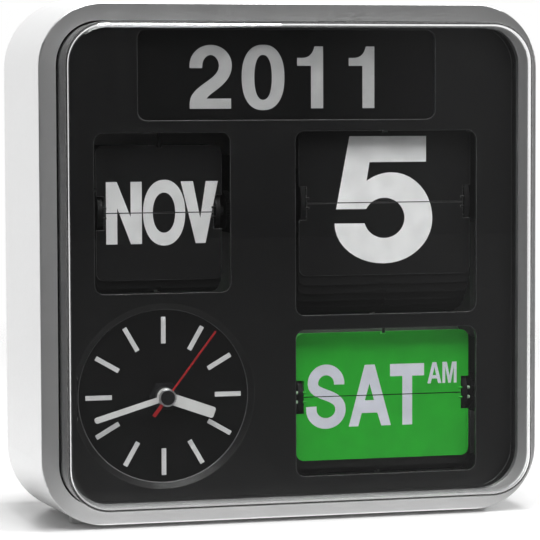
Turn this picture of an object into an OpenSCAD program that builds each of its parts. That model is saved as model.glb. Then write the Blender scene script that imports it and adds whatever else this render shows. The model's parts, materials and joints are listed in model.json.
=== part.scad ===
// Flip calendar clock: a square case with a clear box cover over a black face. Three split-card units
// show the month, the date and the weekday, a fixed card shows the year, and a quartz dial shows the time.
// Millimetres. The origin is on the floor, midway across the width and the depth. +X is to the right,
// +Y is to the back and +Z is up. Pieces are drawn in the face frame: x right, y up, z towards the viewer,
// with z = 0 on the front of the bezel, and to_part() turns that frame into the part's own.

/* [Case] */
// Width of the case
case_w = 210; // [189:1:240]
// Height of the case without its feet
case_h = 210; // [189:1:240]
// Depth of the case and its raised back, behind the front of the bezel
case_d = 82; // [80:1:110]
// Depth of the case's sides behind the front of the bezel
shell_d = 64; // [58:1:70]
// Distance that the sides spread from the front edge to the back
flare = 3; // [0.5:0.1:4]
// Distance from the front's lower edge down to the flat underside
base_drop = 0.8; // [0.2:0.1:1.5]
// Radius of the case's four long edges at the front
case_r = 26; // [24:0.5:30]
// Thickness of the case's side walls at the front
case_wall = 3; // [2.4:0.1:3.4]
// Width of the flat bezel round the front opening
bezel_w = 7.1; // [5.8:0.1:7.6]
// Thickness of the bezel
bezel_t = 3; // [2:0.1:4]
// Corner radius of the bezel's opening
bezel_r = 18; // [15:0.5:19]
// Rounding of the case's front edge
edge_r = 0.6; // [0.4:0.1:2]
// Width of the step that the rear cover sits in
rabbet_w = 1.5; // [1:0.1:1.8]

/* [Feet] */
// Height of the floor gap under the flat underside
foot_h = 0.6; // [0.4:0.1:4]
// Diameter of a foot
foot_d = 8; // [6:0.5:16]
// Distance from the side of the case to a front foot's centre
foot_inset = 19; // [15:0.5:40]
// Distance from the front of the case to a front foot's centre
foot_setback = 21; // [8:1:24]
// Distance from the side of the case to a back foot's centre
foot_back_inset = 34; // [15:0.5:40]
// Distance from the back of the case's sides to a back foot's centre
foot_back_setback = 12; // [8:1:24]

/* [Clear cover] */
// Distance that the cover stands in front of the bezel
cover_proj = 19.1; // [17:0.1:30]
// Gap between the cover's wall and the bezel's opening
cover_gap = 0.65; // [0.6:0.05:3]
// Outer corner radius of the cover
cover_r = 17; // [12:0.5:18]
// Wall thickness of the cover
cover_t = 1.4; // [1:0.1:2]
// Rounding of the cover's front edge
cover_edge_r = 3.5; // [2.5:0.1:5]
// Thickness of the flange that the bezel holds
cover_flange_t = 2; // [1:0.1:3]
// Width of the flange under the bezel
cover_flange_w = 4.1; // [3.6:0.1:4.6]

/* [Face] */
// Distance from the front of the bezel to the front of the face
face_setback = 8; // [6.5:0.1:9]
// Thickness of the face
face_t = 1.5; // [1.2:0.1:2]
// Gap between the face and the case wall
face_gap = 0.6; // [0.3:0.1:1]
// Width of the rim that clamps the cover's flange
face_rim_w = 4.4; // [3:0.1:6]
// Corner radius of the windows
window_r = 3.8; // [2:0.1:6]
// Distance from the sides of the bezel's opening to the card windows
side_margin = 16.7; // [15:0.1:20]
// Distance between the month window and the windows to its right
column_gap = 27.6; // [27:0.1:32]
// Distance between the date window and the weekday window
row_gap = 6; // [4:0.1:8]
// Diameter of the pillars that carry the rear cover
pillar_d = 7; // [6:0.1:7.4]
// Distance of the pillars from the side of the case
pillar_inset = 14; // [13.8:0.1:14.4]
// Radius of the pilot holes in the pillars
pillar_hole_r = 1.3; // [1:0.1:1.6]

/* [Year] */
// Width of the year window
year_w = 126.2; // [100:0.1:150]
// Height of the year window
year_h = 36.9; // [28:0.1:38]
// Distance from the top of the bezel's opening to the year window
year_margin = 3.2; // [3:0.1:10]
// Distance that the year card reaches past its window
year_lap = 2; // [1:0.1:4]
// Thickness of the year card and of the dial
card_stock_t = 1; // [0.5:0.1:1.5]

/* [Cards] */
// Thickness of a card
card_t = 0.3; // [0.2:0.05:0.32]
// Corner radius of a card
card_r = 3.3; // [1:0.1:5]
// Distance between neighbouring card pins round a drum
pin_pitch = 4; // [3.8:0.05:4.3]
// Radius of a card's pin
pin_r = 0.45; // [0.3:0.05:0.6]
// Clearance of a pin, shaft or button in its hole
run_clear = 0.05; // [0.02:0.01:0.1]
// Width of the notch beside a card's pin
notch_w = 3.3; // [3:0.1:4]
// Height of that notch from the split between the cards
notch_h = 6.9; // [6.7:0.1:9]
// Gap between the upper and the lower card
split_gap = 0.4; // [0.2:0.1:0.8]
// Distance from the front of the face to the front of the cards
card_setback = 6.8; // [6.6:0.1:9]

/* [Month] */
// Number of month cards
month_n = 12; // [12]
// Width of a month card
month_w = 52.5; // [48:0.1:56]
// Gap between a month card's side and its window
month_side_gap = 2; // [1.5:0.1:3]
// Distance between the year window and the month window
month_row_gap = 5.1; // [4:0.1:8]
// Distance between the month window and the sloping ring of the dial
month_dial_gap = 4; // [3:0.1:8]
// Gap above the month's upper card
month_top_gap = 5; // [1:0.1:6]
// Gap below the month's lower card
month_low_gap = 5; // [1:0.1:6]

/* [Date] */
// Number of date cards
date_n = 31; // [31]
// Gap between a date card's left side and its window
date_left_gap = 3.3; // [1.5:0.1:5]
// Gap between a date card's right side and its window
date_right_gap = 0.3; // [0.3:0.1:3]
// Distance between the year window and the date window
date_row_gap = 4.7; // [4:0.1:8]
// Gap above the date's upper card, negative where the face hides the card's edge
date_top_gap = -0.3; // [-0.3:0.1:1]
// Gap below the date's lower card
date_low_gap = 15.8; // [5:0.1:17]

/* [Weekday] */
// Number of weekday cards, a morning and an afternoon card for each day
weekday_n = 14; // [14]
// Gap between a weekday card's left side and its window
weekday_left_gap = 1.9; // [1.5:0.1:5]
// Gap between a weekday card's right side and its window
weekday_right_gap = 1; // [0.3:0.1:3]
// Height of half a weekday reading
weekday_l = 26.6; // [24:0.1:27]
// Distance from the bottom of the bezel's opening to the weekday window
weekday_margin = 8.4; // [7:0.1:12]
// Gap above the weekday's upper card
weekday_top_gap = 2; // [1:0.1:2.5]
// Gap below the weekday's lower card
weekday_low_gap = 5.5; // [1:0.1:6]

/* [Drums] */
// Rim of a drum's cheek outside its pin holes
cheek_rim = 0.9; // [0.7:0.05:1]
// Thickness of a cheek
cheek_t = 2; // [1.5:0.1:2.2]
// Gap between a cheek and the card beside it
cheek_gap = 0.6; // [0.4:0.1:0.8]
// Radius of a drum's spindle
spindle_r = 2.5; // [2:0.1:3.5]
// Radius of the spindle's bearing ends
journal_r = 1.5; // [1:0.1:1.9]
// Gap between a card's side and the drum gear
gear_gap = 2.2; // [1:0.1:3]
// Thickness of the drum gear and its pinion
gear_t = 2; // [1.5:0.1:3]
// Gap between the gear and the bracket plate
plate_gap = 0.6; // [0.4:0.1:1]
// Tooth module of the gears
gear_module = 0.4; // [0.35:0.01:0.45]
// Teeth on a drum gear
drum_teeth = 40; // [40]
// Teeth on a motor pinion
pinion_teeth = 12; // [12]
// Angle that thins each flank of a tooth, on the drum gear
backlash_deg = 0.35; // [0.2:0.05:0.5]

/* [Brackets] */
// Thickness of a bracket's plates
plate_t = 1.5; // [1:0.1:2]
// Radius of the tie bar between the plates
tie_r = 1.5; // [1:0.1:2]
// Gap between the tie bar and the swinging cards
tie_gap = 2.5; // [1.5:0.1:4]
// Height of the bosses that carry the bracket's tabs
boss_h = 4; // [3:0.1:4.5]
// Radius of those bosses
boss_r = 2.8; // [2.2:0.1:3]
// Length of a bracket's tab
tab_l = 7; // [6.4:0.1:7.5]
// Width of a bracket's tab
tab_w = 7; // [6:0.1:8]
// Radius of the small screws
screw_r = 0.9; // [0.7:0.05:1.1]
// Clearance round the small screws
screw_clear = 0.06; // [0.03:0.01:0.2]
// Radius of a small screw's head
screw_head_r = 1.9; // [1.5:0.1:2.3]
// Height of a small screw's head
screw_head_h = 1.2; // [0.8:0.1:1.6]
// Diameter of a drum motor
motor_d = 10; // [8:0.1:11]
// Length of a drum motor
motor_l = 11; // [9:0.1:12]
// Radius of the motor shaft
motor_shaft_r = 0.75; // [0.5:0.05:1]

/* [Dial] */
// Distance from the left of the bezel's opening to the sloping ring of the dial
dial_side_margin = 7.1; // [6:0.1:9]
// Distance from the bottom of the bezel's opening to that ring
dial_low_margin = 5.6; // [5:0.1:8]
// Diameter of the dial that shows
dial_d = 70.4; // [66:0.1:71]
// Width of the sloping ring round the dial
dial_slope = 2.8; // [1:0.1:3]
// Radius of the outer ends of the hour batons
baton_r = 32.4; // [30:0.1:33]
// Length of an hour baton
baton_l = 10.9; // [8:0.1:13]
// Width of an hour baton
baton_w = 1.9; // [1:0.1:3]
// Thickness of an hour baton
baton_t = 0.3; // [0.1:0.05:0.5]
// Side of the quartz movement's housing
movement_w = 56; // [50:1:58]
// Depth of the quartz movement's housing
movement_d = 16; // [14:0.5:18]
// Radius of the threaded collar through the dial
collar_r = 4; // [3.8:0.1:5]
// Height of the collar in front of the dial
collar_h = 2.6; // [2.4:0.1:2.8]
// Thickness of the collar's nut
nut_t = 2; // [1.5:0.1:2.3]
// Width of the nut across its flats
nut_af = 11; // [10.6:0.1:13]

/* [Hands] */
// Length of the hour hand
hour_l = 21.5; // [18:0.1:24]
// Width of the hour hand
hour_w = 4.6; // [3:0.1:6]
// Length of the minute hand
minute_l = 31; // [28:0.1:34]
// Width of the minute hand
minute_w = 2.4; // [2.2:0.1:4]
// Length of the second hand
second_l = 33.4; // [28:0.1:34]
// Length of the second hand's tail
second_tail = 9.4; // [6:0.1:14]
// Width of the second hand
second_w = 0.7; // [0.5:0.1:1.5]
// Thickness of a hand
hand_t = 0.4; // [0.3:0.05:0.5]
// Corner radius of the hour and minute hands' tips
hand_tip_r = 1; // [0.5:0.1:1.1]
// Distance from the dial to the back of the hour hand
hour_stand = 4.2; // [4:0.1:5]
// Distance from one hand to the next, back to back
hand_step = 1.4; // [1.2:0.1:1.6]
// Radius of the hour hand's tube
hour_tube_r = 2.5; // [2.2:0.1:3]
// Radius of the minute hand's tube
minute_tube_r = 1.6; // [1.4:0.1:1.8]
// Radius of the second hand's arbor
arbor_r = 0.8; // [0.6:0.05:0.9]
// Radius of the cap over the hands
cap_r = 3.6; // [3:0.1:5]
// Height of that cap
cap_h = 1.1; // [0.8:0.1:2]
// Angle of the hour hand from twelve, clockwise
hour_angle = 109.5; // [0:0.5:360]
// Angle of the minute hand from twelve, clockwise
minute_angle = 253.5; // [0:0.5:360]
// Angle of the second hand from twelve, clockwise
second_angle = 37.4; // [0:0.1:360]

/* [Rear] */
// Thickness of the rear cover
rear_t = 3; // [2.6:0.1:3.4]
// Distance that the raised back is set in from the front's outline
rear_step = 5; // [4.6:0.1:5.2]
// Corner radius of the raised back
rear_r = 13.5; // [13:0.1:14]
// Clearance round the rear cover and the battery door
rear_clear = 0.15; // [0.1:0.05:0.3]
// Radius of the rear cover screws' heads
long_head_r = 3; // [2:0.1:3.2]
// Depth of the rear cover's screw recesses
long_head_h = 1.8; // [1:0.1:2]
// Length of the rear cover screws
long_screw_l = 14; // [8:0.5:20]
// Radius of the setting knob
knob_r = 8; // [6:0.1:10]
// Height of the setting knob
knob_h = 4.6; // [3:0.1:5]
// Radius of the setting shaft
knob_shaft_r = 1.5; // [1:0.1:2]
// Distance of the setting shaft below the dial's centre
knob_drop = 14; // [10:0.1:18]
// Gap round the setting knob in its well
knob_gap = 3; // [2:0.1:5]
// Radius of an advance button
button_r = 4; // [3:0.1:5]
// Travel of an advance button
button_travel = 1.2; // [0.6:0.1:1.5]
// Distance between the advance buttons
button_step = 20; // [14:0.5:22]

/* [Power] */
// Diameter of a battery
cell_d = 14.5; // [14:0.1:14.6]
// Length of a battery
cell_l = 50.5; // [49:0.1:51]
// Height of the battery bay's centre above the centre of the face
bay_y = 25; // [20:0.5:30]
// Distance of the battery bay's centre from the left side of the case
bay_inset = 53; // [49:0.5:57]
// Wall of the battery bay
bay_wall = 1.5; // [1:0.1:2]
// Thickness of the battery door
door_t = 1.7; // [1.4:0.05:1.8]
// Width of the door's side tongues
tongue_w = 1; // [0.6:0.1:1.5]
// Thickness of a circuit board
board_t = 1.6; // [1:0.1:2]
// Width of the circuit board
board_w = 66; // [60:1:70]
// Height of the circuit board
board_h = 40; // [36:1:44]
// Distance of the circuit board's centre from the right side of the case
board_inset = 75; // [71:0.5:79]
// Distance of the circuit board's centre from the bottom of the case
board_rise = 39; // [37:0.5:41]

/* [Hidden] */
$fn = 64;
eps = 0.01;

// Where the face frame lies in the part's own frame
bezel_at_y = (cover_proj - case_d) / 2;
centre_at_z = foot_h + base_drop + case_h / 2;

// Sizes that follow from the case and the cover
open_w = case_w - 2 * bezel_w;
open_h = case_h - 2 * bezel_w;
inner_w = case_w - 2 * case_wall;
inner_h = case_h - 2 * case_wall;
inner_r = case_r - case_wall;
cover_w = open_w - 2 * cover_gap;
cover_h = open_h - 2 * cover_gap;
flange_back = bezel_t + cover_flange_t;
face_w = inner_w - 2 * face_gap;
face_h = inner_h - 2 * face_gap;
face_r = inner_r - face_gap;
face_back = face_setback + face_t;
stock_back = face_back + card_stock_t;
rear_in = case_d - rear_t;
rim_in = shell_d - rear_t;
raised_w = case_w - 2 * rear_step;
raised_h = case_h - 2 * rear_step;
pillar_x = case_w / 2 - pillar_inset;
pillar_y = case_h / 2 - pillar_inset;

// Edges of the windows: the cards take what the year, the dial and the gaps leave of the opening
year_y = open_h / 2 - year_margin - year_h;
dial_ring_r = dial_d / 2 + dial_slope;
dial_x = open_w / 2 - dial_side_margin - dial_ring_r;
dial_y = open_h / 2 - dial_low_margin - dial_ring_r;
month_left = side_margin - open_w / 2;
month_right = month_left + month_w + 2 * month_side_gap;
month_low = month_dial_gap + dial_ring_r - dial_y;
month_high = year_y - month_row_gap;
right_left = month_right + column_gap;
right_right = open_w / 2 - side_margin;
weekday_low = weekday_margin - open_h / 2;
weekday_high = weekday_low + weekday_low_gap + 2 * weekday_l + weekday_top_gap;
date_low = weekday_high + row_gap;
date_high = year_y - date_row_gap;

// Card sizes and places that follow from the windows
month_l = (month_high - month_low - month_top_gap - month_low_gap) / 2;
date_l = (date_high - date_low - date_top_gap - date_low_gap) / 2;
date_w = right_right - right_left - date_left_gap - date_right_gap;
weekday_w = right_right - right_left - weekday_left_gap - weekday_right_gap;
month_x = month_left + month_side_gap + month_w / 2;
date_x = right_left + date_left_gap + date_w / 2;
weekday_x = right_left + weekday_left_gap + weekday_w / 2;

// Each flip unit is listed as number of cards, card width, half height, x, y of the split, and its window
MONTH = [month_n, month_w, month_l, month_x, month_low + month_low_gap + month_l,
    [month_left, month_right, month_low, month_high]];
DATE = [date_n, date_w, date_l, date_x, date_low + date_low_gap + date_l,
    [right_left, right_right, date_low, date_high]];
WEEKDAY = [weekday_n, weekday_w, weekday_l, weekday_x, weekday_low + weekday_low_gap + weekday_l,
    [right_left, right_right, weekday_low, weekday_high]];
UNITS = [MONTH, DATE, WEEKDAY];
function cards(u) = u[0];
function wide(u) = u[1];
function half(u) = u[2];
function step(u) = 360 / cards(u);
function pin_circle(u) = pin_pitch * cards(u) / (2 * PI);
function pin_up(u) = pin_circle(u) * sin(step(u) / 2);
function reach(u) = half(u) - pin_up(u);
function axis_z(u) = -card_t / 2 - pin_circle(u) * cos(step(u) / 2);
function swing(u) = norm([pin_circle(u), reach(u)]);
function tie_at(u) = (swing(u) + tie_gap + tie_r) * sqrt(0.5);
function plate_in(u) = wide(u) / 2 + gear_gap + gear_t + plate_gap;
function plate_out(u) = plate_in(u) + plate_t;
function tab_ys(u) = [-plate_low + tab_w / 2, tie_at(u) + tie_r - tab_w / 2];

// Sizes that all flip units share
card_plane = face_setback + card_setback;
face_back_z = card_plane - face_back;
tab_z = face_back_z - boss_h;
plate_low = 9;
gear_r = gear_module * drum_teeth / 2;
pinion_pitch_r = gear_module * pinion_teeth / 2;
pinion_drop = gear_r + pinion_pitch_r + 0.05;
pinion_side = 0.2;
finger_w = 1.2;
finger_t = 0.5;
finger_hang = 0.5;
finger_notch = 2 * finger_hang;
finger_rise = 0.3;
finger_base_h = 1.8;
finger_tip_z = 0.5;
small_screw_l = boss_h - 0.4 + plate_t;

// The dial's own depths, counted forwards from the dial
hour_z = hour_stand;
minute_z = hour_z + hand_step;
second_z = minute_z + hand_step;
tube_back = 3;

// The rear pieces' own depths
well_floor = 1.5;
well_back = 1.4;
knob_back = case_d - 0.4;
knob_front = knob_back - knob_h;
bay_x = case_w / 2 - bay_inset;
bay_w = cell_l + 3.5;
bay_h = 2 * cell_d + 2;
bay_depth = cell_d + 2;
bay_floor = rear_in - bay_depth;
door_w = bay_w + 4;
door_h = bay_h + 4;
door_slot = door_t + 2 * rear_clear;
door_travel = bay_h + 3;
board_x = case_w / 2 - board_inset;
board_y = case_h / 2 - board_rise;
board_front = rear_in - 17;
board_back = board_front + board_t;
switch_h = 3.5;
switch_w = 6;
plunger_r = 1.6;
plunger_h = 1;
button_head = case_d - 0.3;
button_flange = 1.2;
button_stem_r = 2;
button_gap = 0.1;
post_r = 2.5;
post_inset = 4;

// Small parts of the battery bay and the board
leaf_t = 0.4;
leaf_w = 10;
leaf_h = 12;
nub_r = 2;
spring_r = 3.5;
chip = [14, 10];
chip_t = 1.8;
chip_at = [-12, -4];
crystal = [10, 4];
crystal_t = 3.5;
crystal_r = 1.9;
crystal_at = [10, -6];
plug = [8, 5];
plug_t = 5;
plug_step = 15;
plug_at = 13;
INK = "#181819";

module to_part() { translate([0, bezel_at_y, centre_at_z]) rotate([90, 0, 0]) children(); }

// A square with round corners, w wide and h high
module round_square(w, h, r) {
    square([w - 2 * r, h], center = true);
    square([w, h - 2 * r], center = true);
    for (x = [-1, 1])
        for (y = [-1, 1])
            translate([x * (w / 2 - r), y * (h / 2 - r)]) circle(r);
}

// An outline carried from depth a to depth b behind the bezel's front
module slab(a, b) { translate([0, 0, -b]) linear_extrude(b - a) children(); }

// A section carried round a square with round corners. The section's x is 0 on the outside of the
// square and negative inwards, and its y is z in the face frame.
module carried_round(w, h, r) {
    for (q = [0:3]) {
        along = q % 2 == 0 ? h : w;
        across = q % 2 == 0 ? w : h;
        rotate([0, 0, 90 * q]) {
            translate([across / 2, along / 2 - r, 0]) rotate([90, 0, 0]) linear_extrude(along - 2 * r) children();
            translate([across / 2 - r, along / 2 - r, 0])
                rotate_extrude(angle = 90) translate([r, 0]) children();
        }
    }
}

module rod_x(x0, x1, r) { translate([x0, 0, 0]) rotate([0, 90, 0]) cylinder(h = x1 - x0, r = r); }

module rod_z(z0, z1, r) { translate([0, 0, z0]) cylinder(h = z1 - z0, r = r); }

// An outline in y and z carried along x
module along_x(x0, x1) { translate([x0, 0, 0]) rotate([90, 0, 90]) linear_extrude(x1 - x0) children(); }

// Involute gear outline with a tooth on its x axis
function involute(a) = tan(a) - a * PI / 180;
function flank(rb, rp, thin, teeth, rho) =
    90 / teeth - thin + (involute(20) - involute(acos(min(1, rb / rho)))) * 180 / PI;
function tooth(m, teeth, thin) =
    let (rp = m * teeth / 2, rb = rp * cos(20), ra = rp + m * 0.9, rd = rp - m * 1.25, r0 = max(rb, rd),
        rows = [for (i = [0:4]) r0 + (ra - r0) * i / 4],
        up = [for (rho = rows) [rho, -flank(rb, rp, thin, teeth, rho)]],
        down = [for (i = [4:-1:0]) [rows[i], flank(rb, rp, thin, teeth, rows[i])]])
    concat([[rd, up[0][1]]], up, down, [[rd, down[4][1]]]);
module gear_outline(m, teeth, thin) {
    polygon([for (k = [0:teeth - 1]) for (p = tooth(m, teeth, thin))
        p[0] * [cos(p[1] + 360 * k / teeth), sin(p[1] + 360 * k / teeth)]]);
}

// Case, cover and face

// The case's spreading sides, thick enough to reach in by that much, over a flat underside
module case_sides(reach_in) difference() {
    carried_round(case_w, case_h, case_r) {
        polygon([[-reach_in, -shell_d], [flare, -shell_d], [0, -edge_r], [-reach_in, -edge_r]]);
        translate([-reach_in, -edge_r - eps]) square([reach_in - edge_r, edge_r + eps]);
        translate([-edge_r, -edge_r]) circle(edge_r);
    }
    translate([0, -case_h / 2 - base_drop - flare]) slab(-1, shell_d + 1)
        square([case_w + 4 * flare, 2 * flare], center = true);
}

module front_case() color("silver") to_part() difference() {
    union() {
        case_sides(case_wall);
        slab(0, bezel_t) difference() {
            round_square(inner_w + 2, inner_h + 2, inner_r + 1);
            round_square(open_w, open_h, bezel_r);
        }
    }
    slab(rim_in, shell_d + 1) round_square(case_w - 2 * rabbet_w, case_h - 2 * rabbet_w, case_r - rabbet_w);
}

module clear_cover() color("lightblue", 0.35) to_part() {
    lap = cover_t / 2;
    carried_round(cover_w, cover_h, cover_r) {
        translate([-cover_t, -flange_back]) square([cover_t, flange_back + cover_proj - cover_edge_r]);
        translate([-cover_edge_r, cover_proj - cover_edge_r]) intersection() {
            difference() {
                circle(cover_edge_r);
                circle(cover_edge_r - cover_t);
            }
            square(cover_edge_r);
        }
    }
    front = -cover_proj;
    slab(front, front + cover_t)
        round_square(cover_w - 2 * cover_edge_r, cover_h - 2 * cover_edge_r, cover_r - cover_edge_r);
    slab(bezel_t, flange_back) difference() {
        round_square(cover_w + 2 * cover_flange_w, cover_h + 2 * cover_flange_w, cover_r + cover_flange_w);
        round_square(cover_w - 2 * lap, cover_h - 2 * lap, cover_r - lap);
    }
}

module window_outline(u) {
    edge = u[5];
    translate([(edge[0] + edge[1]) / 2, (edge[2] + edge[3]) / 2])
        round_square(edge[1] - edge[0], edge[3] - edge[2], window_r);
}

module at_tabs(u) {
    for (side = [-1, 1])
        for (y = tab_ys(u))
            translate([u[3] + side * (plate_out(u) + tab_l / 2), u[4] + y, -card_plane]) children();
}

module at_pillars() {
    for (x = [-1, 1])
        for (y = [-1, 1])
            translate([x * pillar_x, y * pillar_y, 0]) children();
}

module face_plate() color(INK) to_part() difference() {
    union() {
        slab(face_setback, face_back) difference() {
            round_square(face_w, face_h, face_r);
            for (u = UNITS)
                window_outline(u);
            translate([0, year_y + year_h / 2]) round_square(year_w, year_h, window_r);
            translate([-dial_x, -dial_y]) circle(d = dial_d);
        }
        slab(flange_back, face_setback + eps) difference() {
            round_square(face_w, face_h, face_r);
            round_square(face_w - 2 * face_rim_w, face_h - 2 * face_rim_w, face_r - face_rim_w);
        }
        at_pillars() rod_z(-rear_in, -face_back + eps, pillar_d / 2);
        for (u = UNITS)
            at_tabs(u) rod_z(tab_z, face_back_z + eps, boss_r);
    }
    translate([-dial_x, -dial_y, -face_back - eps])
        cylinder(h = face_t + 2 * eps, r1 = dial_d / 2, r2 = dial_d / 2 + dial_slope);
    at_pillars() rod_z(-rear_in - eps, long_screw_l - rear_in, pillar_hole_r);
    for (u = UNITS)
        at_tabs(u) rod_z(tab_z - eps, face_back_z, screw_r + screw_clear);
}

module year_card() color(INK) to_part()
    translate([0, year_y + year_h / 2, 0]) slab(face_back, stock_back)
        round_square(year_w + 2 * year_lap, year_h + 2 * year_lap, window_r);

// Dial, movement and hands, drawn about the dial's centre with z = 0 on the dial's front

module at_dial() { to_part() translate([-dial_x, -dial_y, -face_back]) children(); }

module dial_plate() color("#141415") at_dial() difference() {
    rod_z(-card_stock_t, 0, dial_d / 2 + 3);
    rod_z(-card_stock_t - 1, 1, collar_r + 0.1);
}

module hour_markers() color("gainsboro") at_dial() linear_extrude(baton_t)
    for (h = [0:11])
        rotate(30 * h) translate([-baton_w / 2, baton_r - baton_l]) square([baton_w, baton_l]);

module quartz_movement() color("#202022") at_dial() difference() {
    union() {
        translate([0, 0, -card_stock_t - movement_d]) linear_extrude(movement_d)
            round_square(movement_w, movement_w, 3);
        rod_z(-card_stock_t - eps, collar_h, collar_r);
    }
    rod_z(-card_stock_t - tube_back - 1, collar_h + 1, hour_tube_r + run_clear);
    translate([0, -knob_drop, -card_stock_t - movement_d])
        rod_z(-1, 4, knob_shaft_r + run_clear);
}

module movement_nut() color("goldenrod") at_dial() difference() {
    cylinder(h = nut_t, r = nut_af / sqrt(3), $fn = 6);
    rod_z(-1, nut_t + 1, collar_r + run_clear);
}

// A flat hand that points up, with a round hub and a tube back into the movement
module hand(z, tip, tail, w, tip_r, hub, tube, bore) {
    difference() {
        union() {
            translate([0, 0, z]) linear_extrude(hand_t) {
                circle(hub);
                translate([-w / 2, -tail]) square([w, tip + tail - tip_r]);
                translate([tip_r - w / 2, 0]) square([w - 2 * tip_r, tip]);
                for (x = [-1, 1])
                    translate([x * (w / 2 - tip_r), tip - tip_r]) circle(tip_r);
            }
            rod_z(-card_stock_t - tube_back, z + hand_t, tube);
        }
        if (bore > 0)
            rod_z(-card_stock_t - tube_back - 1, z + hand_t + 1, bore);
    }
}

module hour_hand() color("gainsboro") at_dial() rotate(-hour_angle)
    hand(hour_z, hour_l, 0, hour_w, hand_tip_r, hour_tube_r + 1.2, hour_tube_r, minute_tube_r + run_clear);

module minute_hand() color("gainsboro") at_dial() rotate(-minute_angle)
    hand(minute_z, minute_l, 0, minute_w, hand_tip_r, minute_tube_r + 1.4, minute_tube_r, arbor_r + run_clear);

module second_hand() color("crimson") at_dial() rotate(-second_angle) {
    hand(second_z, second_l, second_tail, second_w, second_w / 3, arbor_r + 1, arbor_r, 0);
    translate([-second_w, -second_tail, second_z]) linear_extrude(hand_t)
        square([2 * second_w, second_tail - arbor_r]);
}

module hand_cap() color(INK) at_dial() translate([0, 0, second_z + hand_t])
    cylinder(h = cap_h, r1 = cap_r, r2 = cap_r - 0.4);

module set_knob() color(INK) to_part() translate([-dial_x, -dial_y - knob_drop, 0]) {
    difference() {
        rod_z(-knob_back, -knob_front, knob_r);
        for (k = [0:23])
            rotate(15 * k) translate([knob_r + 0.25, 0, 0]) rod_z(-knob_back - 1, -knob_front + 1, 0.6);
        translate([-knob_r, -0.8, -knob_back - 1]) cube([2 * knob_r, 1.6, 1.8]);
    }
    rod_z(-knob_front - eps, -stock_back - movement_d + 3, knob_shaft_r);
}

// Flip units, drawn about the middle of the split with z = 0 on the front of the cards

module at_unit(u) { to_part() translate([u[3], u[4], -card_plane]) children(); }

// Place of the pin of card k, counted from the upper card backwards over the top
module at_pin(u, k) {
    turn = (k + 0.5) * step(u);
    translate([0, pin_circle(u) * sin(turn), axis_z(u) + pin_circle(u) * cos(turn)]) children();
}

// One card standing up on its pin, with the pin's axis on x and a notch for the stop finger in its far edge
module card(u, notched = true) {
    tail = pin_up(u) - split_gap / 2;
    shoulder = notch_h - pin_up(u);
    w = wide(u);
    neck = w / 2 - notch_w;
    translate([0, 0, -card_t / 2]) linear_extrude(card_t) difference() {
        union() {
            translate([-neck, -tail]) square([2 * neck, tail + shoulder + eps]);
            translate([-w / 2, shoulder]) square([w, reach(u) - shoulder - card_r]);
            translate([-w / 2 + card_r, shoulder]) square([w - 2 * card_r, reach(u) - shoulder]);
            for (x = [-1, 1])
                translate([x * (w / 2 - card_r), reach(u) - card_r]) circle(card_r);
        }
        if (notched)
            translate([-finger_w, reach(u) - finger_notch]) square([2 * finger_w, finger_notch + 1]);
    }
    for (side = [0, 1])
        mirror([side, 0, 0]) rod_x(neck - 1, neck + cheek_gap + cheek_t - 0.2, pin_r);
}

module upper_card(u) { at_pin(u, 0) card(u); }

module lower_card(u) { at_pin(u, -1) rotate([180, 0, 0]) card(u, notched = false); }

// The other cards: those on top lean back one step each, those below hang down
module card_pack(u) {
    for (k = [1:cards(u) - 2])
        at_pin(u, k) rotate([-min(180, k * step(u)), 0, 0]) card(u);
}

module drum(u) {
    inner = wide(u) / 2 - notch_w + cheek_gap;
    in_z = axis_z(u);
    difference() {
        translate([0, 0, in_z])
            for (side = [0, 1])
                mirror([side, 0, 0]) rod_x(inner, inner + cheek_t, pin_circle(u) + cheek_rim);
        for (k = [0:cards(u) - 1])
            at_pin(u, k) rod_x(-wide(u), wide(u), pin_r + run_clear);
    }
    translate([0, 0, in_z]) {
        rod_x(-plate_in(u) + 0.3, plate_in(u) - 0.3, spindle_r);
        rod_x(-plate_out(u) - 0.5, plate_out(u) + 0.5, journal_r);
        along_x(wide(u) / 2 + gear_gap, wide(u) / 2 + gear_gap + gear_t)
            rotate(-90) gear_outline(gear_module, drum_teeth, backlash_deg);
    }
}

module pinion(u) {
    x0 = wide(u) / 2 + gear_gap - pinion_side;
    translate([0, 0, axis_z(u) - pinion_drop]) {
        along_x(x0, x0 + gear_t + 2 * pinion_side)
            rotate(90 + 180 / pinion_teeth) gear_outline(gear_module, pinion_teeth, backlash_deg);
        rod_x(x0, plate_out(u) + 4, motor_shaft_r);
    }
}

module motor(u) {
    translate([0, 0, axis_z(u) - pinion_drop]) difference() {
        rod_x(plate_out(u), plate_out(u) + motor_l, motor_d / 2);
        rod_x(plate_out(u) - 1, plate_out(u) + 4.5, motor_shaft_r + run_clear);
    }
}

module bracket(u) {
    t = tie_at(u);
    back = axis_z(u) - t - tie_r;
    difference() {
        union() {
            for (side = [0, 1])
                mirror([side, 0, 0]) {
                    translate([plate_in(u), -plate_low, back])
                        cube([plate_t, plate_low + t + tie_r, face_back_z - 0.5 - back]);
                    for (y = tab_ys(u))
                        translate([plate_out(u) - eps, y - tab_w / 2, tab_z - plate_t])
                            cube([tab_l, tab_w, plate_t]);
                }
            translate([0, t, axis_z(u) - t]) rod_x(-plate_in(u) - eps, plate_in(u) + eps, tie_r);
        }
        translate([0, 0, axis_z(u)]) rod_x(-plate_out(u) - 1, plate_out(u) + 1, journal_r + run_clear);
        translate([0, 0, axis_z(u) - pinion_drop]) rod_x(0, plate_out(u) + 1, 2 * motor_shaft_r);
        for (side = [-1, 1])
            for (y = tab_ys(u))
                translate([side * (plate_out(u) + tab_l / 2), y, 0])
                    rod_z(tab_z - plate_t - 1, tab_z + 1, screw_r + screw_clear);
    }
}

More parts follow.
